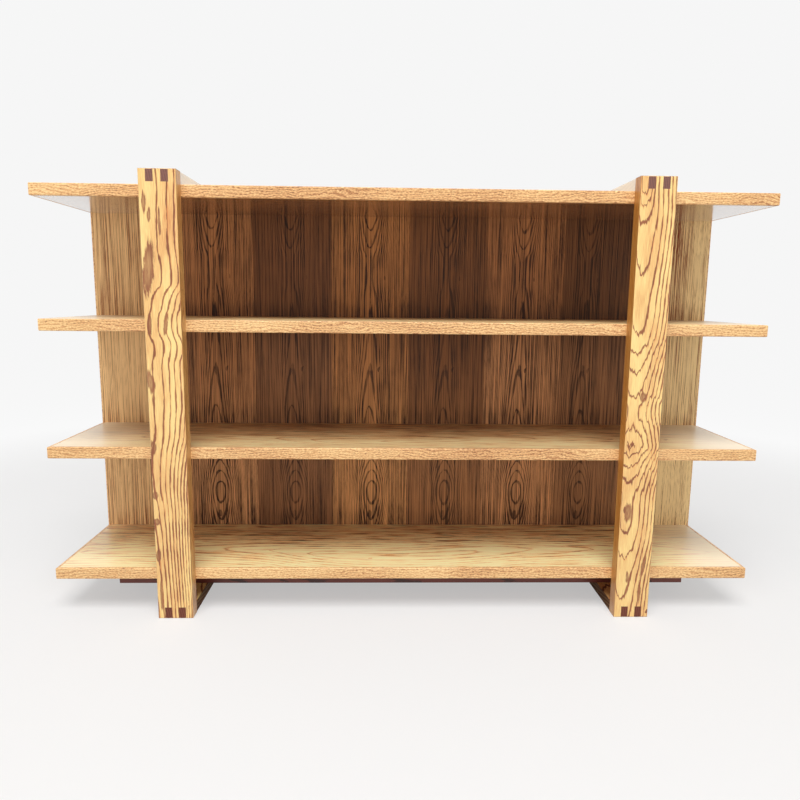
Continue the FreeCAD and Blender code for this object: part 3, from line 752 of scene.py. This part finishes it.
# %% The leaves' cut and their table
LEAF_CUT = {
    **BASE_CUT, "crown": 0.066, "bend": 17.0, "jag": 0.0022, "ripple": 0.25, "depth": 0.0,
    "wander": 0.6, "wander_across": 14.0, "wander_along": 3.0,
    "lean": [(0.1, 0.0), (0.35, 0.004), (0.6, -0.004), (0.85, 0.003), (1.05, -0.003), (1.3, 0.004)],
    "rise": [(0.10, 3.0), (0.125, 2.5), (0.165, 1.5), (0.225, 0.5), (0.248, 0.12), (0.270, 0.0),
             (0.288, 0.12), (0.307, 0.5), (0.346, 1.5), (0.385, 2.5), (0.44, 3.2), (0.50, 3.8),
             (0.60, 4.7), (0.71, 5.5), (0.84, 6.3), (0.95, 6.6), (1.03, 7.2), (1.09, 7.2),
             (1.134, 6.5), (1.195, 5.5), (1.245, 4.6), (1.29, 3.4)],
}
LEAF_MARKS = [(0.0, 1.05, 0.003, 0.11, 0.001), (0.0, 0.905, 0.005, 0.030, 0.0),
              (0.0, 0.715, 0.006, 0.022, 0.0), (0.0, 0.185, 0.006, 0.014, 0.0)]
LEAF_LACQUER = {"Roughness": 0.5, "Coat_Weight": 0.0, "Coat_Roughness": 0.2, "IOR": 1.33}
FOOT_LIGHT_TINT = (1.36, 1.54, 1.74)  # how much paler a foot is painted in red, green and blue, a painted light


def leaf(core, pale, ink, middle=0.32, figure=0.52, foot=None):
    """One row of the table, with the numbers that most leaves share filled in."""
    return {"core": core, "pale": pale, "ink": ink, "middle": middle, "figure": figure, "foot": foot}


# pale outer and dark inner colours: partly the veneer's tone, partly painted light and shade; every other
# leaf's darker colours paint a difference in sheen
LEAVES = {
    1: leaf(0.16, paint(255, 212, 152), paint(140, 76, 40), figure=0.40),
    2: leaf(-0.003, paint(202, 138, 87), paint(50, 27, 15), foot=(1.0, 0.85, 0.36)),
    3: leaf(-0.004, paint(136, 87, 52), paint(46, 25, 13), figure=0.40, foot=(1.15, 1.05, 0.62)),
    4: leaf(0.001, paint(202, 136, 80), paint(50, 27, 14), foot=(1.0, 0.85, 0.36)),
    5: leaf(-0.003, paint(142, 91, 53), paint(46, 26, 13), figure=0.40, foot=(1.4, 0.80, 0.36)),
    6: leaf(-0.008, paint(187, 125, 77), paint(50, 27, 15), foot=(1.1, 1.05, 0.62)),
    7: leaf(-0.049, paint(131, 85, 51), paint(44, 25, 13), figure=0.40, foot=(1.5, 1.05, 0.60)),
    8: leaf(-0.082, paint(255, 223, 163), paint(132, 62, 28), middle=0.18),
}
print(len(LEAVES), "leaves, with", len(LEAF_CUT["rise"]), "points in their curve")

# %% [markdown]
# The outermost leaves stand outside the frames, in full light. The left one is painted palest at its middle
# height, a painted light. The right one is painted darker beside its post, most of all high up, a painted
# shade of the post, and paler near the floor, a painted light. All leaves are painted a little darker just
# above each shelf, a painted shade of the shelf. A lamp for every shade would disturb the others, so it is
# put into the colours.

# %% Shades of the leaves
SHADE_STRIP = 0.085  # metres above a shelf, painted shade
SHELF_TOPS = [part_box(f"{level}_shelf")[1].z for level in SHELVES[:3]]


def shade_above_shelves(finish):
    """Painted shade: 1 just above each shelf, falling to 0 a hand's breadth higher."""
    return sum(finish.rise(finish.z, top + SHADE_STRIP, top) * (finish.z > top - 0.02) for top in SHELF_TOPS)


def outer_shade(finish, number, value):
    """The ramp's value on an outer leaf, the first or the last, made paler or darker by place: painted light
    and shade.
    """
    if number == min(LEAVES):
        return value - finish.rise(finish.z, 1.00, 0.84) * finish.rise(finish.z, 0.46, 0.56) * 0.22
    by_post = finish.rise(finish.x, 1.03, 0.95)
    value = value + by_post * (finish.rise(finish.z, 0.60, 0.95) * 0.48 + 0.10)
    return value - finish.rise(finish.z, 0.52, 0.42) * 0.14 - 0.17


print("dark strips above", [round(top, 3) for top in SHELF_TOPS])

# %% [markdown]
# A leaf is as thin as card, so nothing changes through its depth. Near the core line the lines
# are broad. Further out they get finer and fainter, and the pores take over. A row of the table
# could be a material drawn by hand, but a function makes all eight and keeps them alike.

# %% Veneer leaves
LEAF_LOW, LEAF_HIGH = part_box("veneer_leaf_1")
LEAF_WIDTH = LEAF_HIGH.x - LEAF_LOW.x
FLANK = (0.022, 0.060)  # metres from the core line, where the broad lines end and the fine ones start
BROAD_LINE = 0.0014     # metres, near the core line
FINER_BY = 0.0008       # metres, on the flank


def veneer_leaf(number):
    """One leaf: the shared cut moved to the leaf's own core line, with fine pores over it."""
    row = LEAVES[number]
    finish = Finish(f"leaf_{number}_oak", **LEAF_LACQUER)
    a, l = finish.x - (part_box(f"veneer_leaf_{number}")[0].x + LEAF_WIDTH / 2 + row["core"]), finish.z
    flank = finish.rise(abs(a), *FLANK)
    cut = {**LEAF_CUT, "seed": 0.15 * number, "line": BROAD_LINE - flank * FINER_BY}
    dark, tan = ring_lines(finish, a, l, 0.0, cut)
    dark = blots(finish, a, l, LEAF_MARKS, number).sum_with("MAXIMUM", dark)
    pores = streaks(finish, finish.x, finish.z, finish.y, 420.0, 3.0, number)
    coarse = streaks(finish, finish.x, finish.z, finish.y, 140.0, 1.6, number + 3.0)
    tone = finish.noise(finish.vector(finish.x * 12.0, finish.z * 1.8, number), 2.0)
    # painted shade: the texture is darkened just above each shelf
    texture = (pores * 3.5 + coarse * 0.7 + tone * 0.45 + dark * (row["figure"] - flank * 0.18)
               + tan * 0.12 + shade_above_shelves(finish) * 0.16)
    pale, ink = row["pale"], row["ink"]
    stops = [(0.0, pale), (0.40, between(pale, ink, row["middle"])), (1.0, ink)]
    # outer leaves get painted light and shade by place; inner leaves get painted light at their foot
    if row["foot"] is None:
        colour = finish.ramp(outer_shade(finish, number, texture * 1.35 + 0.13), stops)
    else:
        value = texture + 0.38
        # painted light: the low part of an inner leaf is painted paler
        strength, foot_top, foot_low = row["foot"]
        tint = [level * strength for level in FOOT_LIGHT_TINT]
        paler = [(place, tinted(shade, *tint)) for place, shade in stops]
        foot = finish.rise(finish.z, foot_top, foot_low)
        colour = finish.blend(foot, finish.ramp(value, stops), finish.ramp(value, paler))
    finish.give(Base_Color=colour, Roughness=pores * 0.10 + LEAF_LACQUER["Roughness"],
                Normal=finish.bump(pores * 0.6 - dark * 0.4, VENEER_DEPTH))
    return finish.material


leaf_oaks = {f"veneer_leaf_{number}": veneer_leaf(number) for number in LEAVES}
print(len(leaf_oaks), "leaves of", round(LEAF_WIDTH, 3), "m")

# %% [markdown]
# ## What is behind and underneath
#
# The panel's rear face has a plain veneer with a broad, calm figure, its edges are narrow strips, and the
# runners under the bottom shelf are painted nearly black, a painted shade of the shelf above them. They are
# made by the same recipes as the boards in front, with other cuts and colours, so that the piece looks right
# from all sides.

# %% Rear face, strips and runners
BACK_CUT = {**BASE_CUT, "crown": 0.06, "bend": 4.2, "depth": 0.0, "seed": 55.0, "line": 0.0007, "jag": 0.006,
            "wander": 2.2, "wander_across": 5.0, "wander_along": 1.4,
            "rise": [(0.1, 7.0), (0.5, 3.0), (0.9, 0.0), (1.3, 3.5)]}
BACK_COLOURS = (paint(214, 172, 120), paint(202, 158, 106), paint(170, 124, 78), paint(156, 112, 72),
                paint(138, 96, 60))
back_oak = oak("back_oak", ("x", 0.1), ("z", 0.0), ("y", 0.0), BACK_CUT, BACK_COLOURS,
               lacquer={**LACQUER, "Coat_Weight": 0.1, "Roughness": 0.6})
strip_oaks = {}
for edge, axis, other in (("left", "z", "x"), ("right", "z", "x"), ("top", "x", "z"), ("bottom", "x", "z")):
    name = f"back_panel_{edge}_lipping"
    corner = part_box(name)[0]
    strip_oaks[name] = lipping_oak(f"panel_{edge}_strip_oak", (other, getattr(corner, other)), (axis, 0.0),
                                   ("y", corner.y), 90.0)
RUNNER_CUT = {**BASE_CUT, "seed": 61.0, "rise": [(-1.0, 0.0), (0.0, 4.0), (1.0, 6.5)]}
# painted shade: the runners' colours are nearly black for the shadow under the bottom shelf
SHADED_RUNNER_COLOURS = (paint(122, 58, 44), paint(112, 52, 40), paint(88, 42, 33), paint(66, 32, 26),
                  paint(52, 26, 21))
runner_oak = oak("runner_oak", ("z", 0.035), ("x", 0.0), ("y", 0.0), RUNNER_CUT, SHADED_RUNNER_COLOURS)
print(len(strip_oaks), "strips, the rear face and the runners")

# %% [markdown]
# The tenons are bare beech, pale and pinkish with the small dark flecks that beech has, and the
# screws are zinc plated. Hardly any of this shows, so each has the simplest finish that is true to
# it: noise drawn out along the grain, and a faint cloud in the polish.

# %% Beech and steel
def beech():
    """Pale pinkish wood with short dark flecks along the grain."""
    finish = Finish("tenon_beech", Roughness=0.6)
    grain = finish.vector(finish.x * 900.0, finish.y * 500.0, finish.z * 900.0)
    fleck = finish.rise(finish.noise(grain), 0.16, 0.24)
    finish.give(Base_Color=finish.ramp(fleck, [(0.0, paint(214, 176, 136)), (1.0, paint(168, 122, 84))]),
                Normal=finish.bump(1.0 - fleck, 0.0001))
    return finish.material


def zinc():
    """Plated steel, a little yellow, with a faint cloud in its polish."""
    finish = Finish("screw_zinc", Metallic=1.0)
    cloud = finish.noise(finish.vector(finish.x * 700.0, finish.y * 700.0, finish.z * 700.0), 3.0)
    stops = [(0.2, paint(176, 170, 150)), (0.8, paint(208, 204, 190))]
    finish.give(Base_Color=finish.ramp(cloud + 0.5, stops), Roughness=cloud * 0.2 + 0.32)
    return finish.material


tenon_beech, screw_zinc = beech(), zinc()
print("beech of", len(tenon_beech.node_tree.nodes), "nodes, zinc of", len(screw_zinc.node_tree.nodes))

# %% [markdown]
# ## Which board gets which finish
#
# The CAD boards stay as they are. Each only gets the finish made for it in its material slot.

# %% Dress the boards
finishes = {
    "back_panel": back_oak, "front_runner": runner_oak, "rear_runner": runner_oak,
    "front_shelf_tenons": tenon_beech, "rear_shelf_tenons": tenon_beech, "rail_tenons": tenon_beech,
    "runner_tenons": tenon_beech, "panel_screws": screw_zinc,
    **post_oaks, **rail_oaks, **shelf_oaks, **leaf_oaks, **strip_oaks,
}
for name, board in nodes.items():
    board.data.materials.clear()
    board.data.materials.append(finishes[name])
print("dressed", len(finishes), "of", len(nodes), "nodes")

# %% [markdown]
# ## The room
#
# The bookshelf stands on a pale floor that curves up into a pale wall all round, so that no
# horizon shows from any side. A flat plane would end in a hard edge. The surface is a profile
# turned about the Z axis: flat, then a quarter circle, then a straight wall.

# %% Floor and wall in one
FLAT_RADIUS = 3.6
CURVE_RADIUS = 1.6
WALL_TOP = 4.2
ROUND_STEPS = 96
CURVE_STEPS = 16
FLAT_RADII = [0.001, 1.2, 2.4]


def turned_floor():
    """Points (r cos t, r sin t, z): r and z follow the profile, t goes round in equal steps."""
    bend = np.linspace(0, np.pi / 2, CURVE_STEPS)
    curved = FLAT_RADIUS + CURVE_RADIUS * np.sin(bend)
    radius = np.concatenate([FLAT_RADII, curved, [FLAT_RADIUS + CURVE_RADIUS]])
    height = np.concatenate([np.zeros(len(FLAT_RADII)), CURVE_RADIUS * (1 - np.cos(bend)), [WALL_TOP]])
    turn = np.linspace(0, 2 * np.pi, ROUND_STEPS, endpoint=False)
    points = np.stack([np.outer(np.cos(turn), radius), np.outer(np.sin(turn), radius),
                       np.broadcast_to(height, (ROUND_STEPS, len(radius)))], axis=-1)
    index = np.arange(points.shape[0] * points.shape[1]).reshape(points.shape[:2])
    here, ahead = index, np.roll(index, -1, axis=0)
    faces = np.stack([here[:, :-1], here[:, 1:], ahead[:, 1:], ahead[:, :-1]], axis=-1).reshape(-1, 4)
    mesh = bpy.data.meshes.new("studio_floor")
    mesh.from_pydata(points.reshape(-1, 3), [], faces)
    mesh.polygons.foreach_set("use_smooth", np.ones(len(mesh.polygons), dtype=bool))
    floor = bpy.data.objects.new("studio_floor", mesh)
    bpy.context.scene.collection.objects.link(floor)
    return floor


floor = turned_floor()
print("floor of", len(floor.data.polygons), "faces")

# %% [markdown]
# A pale ground could be had with more light, but that would bleach the bookshelf. So the floor has
# two looks, told apart by Light Path. To the rays that only light, it is a middling grey that
# throws some light up into the shelves. To the camera, and to what mirrors the floor, it is pale:
# near the bookshelf part lit, so that the shadow shows, and further off all glow, so that it meets
# the world's own pale tone without an edge.

# %% The floor's finish
NO_LIGHT = (0.0, 0.0, 0.0, 1.0)
PALE_GLOW = (0.90, 0.90, 0.90, 1.0)
LIGHTING_GREY = (0.50, 0.49, 0.48, 1.0)
LIT_SHARE = (0.43, 0.425, 0.42, 1.0)
GLOW_SHARE = (0.44, 0.44, 0.44, 1.0)
FADE = (1.9, 3.8)  # metres from the middle, where the lit share starts to go and is gone

chalk = Finish("studio_chalk", Roughness=0.9)
seen = chalk.seen()
away = chalk.rise((chalk.x ** 2.0 + chalk.y ** 2.0) ** 0.5, *FADE)
lit = chalk.blend(away, LIT_SHARE, NO_LIGHT)
glow = chalk.blend(away, GLOW_SHARE, PALE_GLOW)
chalk.give(Base_Color=chalk.blend(seen, LIGHTING_GREY, lit),
           Emission_Color=chalk.blend(seen, NO_LIGHT, glow), Emission_Strength=1.0)
floor.data.materials.append(chalk.material)
floor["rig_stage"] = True
print("the floor's lit share fades between", *FADE, "m")

# %% [markdown]
# ## The light
#
# The real piece was lit from high in front: the front of each shelf is bright and its back lies in
# the shadow of the shelf above, and the posts stand out against the dark panel. One broad lamp
# stands there, and a weak one low in front opens the deepest shadows. The weak one is hidden from
# mirrors, or the lacquer would show it as a strip.

# %% Lamps
def soft_lamp(name, place, aim, width, height, watts, mirrored=True):
    """A rectangle of light at a place, turned so that its -Z looks at the aim."""
    lamp = bpy.data.lights.new(name, "AREA")
    lamp.shape = "RECTANGLE"
    lamp.size, lamp.size_y, lamp.energy = width, height, watts
    holder = bpy.data.objects.new(name, lamp)
    holder.location = place
    holder.rotation_euler = (Vector(aim) - Vector(place)).to_track_quat("-Z", "Y").to_euler()
    holder.visible_glossy = mirrored
    bpy.context.scene.collection.objects.link(holder)
    return holder


AIM = (0, 0, 0.5)
key = soft_lamp("key", (-0.4, -3.6, 7.2), AIM, 5.0, 4.2, 520)
fill = soft_lamp("fill", (0, -4.4, 0.9), AIM, 4.0, 1.2, 34, mirrored=False)
print("lamps:", key.data.energy, "and", fill.data.energy, "watts")

# %% [markdown]
# The world lights the piece softly from all round, with a touch of blue. Like the floor, it is
# paler to the camera and to mirrors than the light it gives. Its nodes are added in the same way
# as a finish's.

# %% Sky
SKY_LIGHT = (0.3325, 0.3395, 0.35, 1.0)


class Sky(Finish):
    """The light of the world round the room; it takes nodes in the same way as a finish."""

    def __init__(self, name):
        self.world = bpy.data.worlds.new(name)
        self.world.use_nodes = True
        self.tree = self.world.node_tree
        self.shader = self.tree.nodes["Background"]


sky = Sky("room")
sky.give(Color=sky.blend(sky.seen(), SKY_LIGHT, PALE_GLOW), Strength=1.0)
bpy.context.scene.world = sky.world
bpy.context.scene.view_settings.view_transform = "Standard"
print("sky", SKY_LIGHT[:3], "seen as", PALE_GLOW[:3])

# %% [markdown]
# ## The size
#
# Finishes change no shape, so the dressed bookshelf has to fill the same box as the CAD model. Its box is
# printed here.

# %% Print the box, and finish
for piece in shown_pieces():
    if "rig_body" not in piece:
        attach(piece, "root")
low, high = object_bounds()
print("box", [round(value, 4) for value in (*low, *high)])
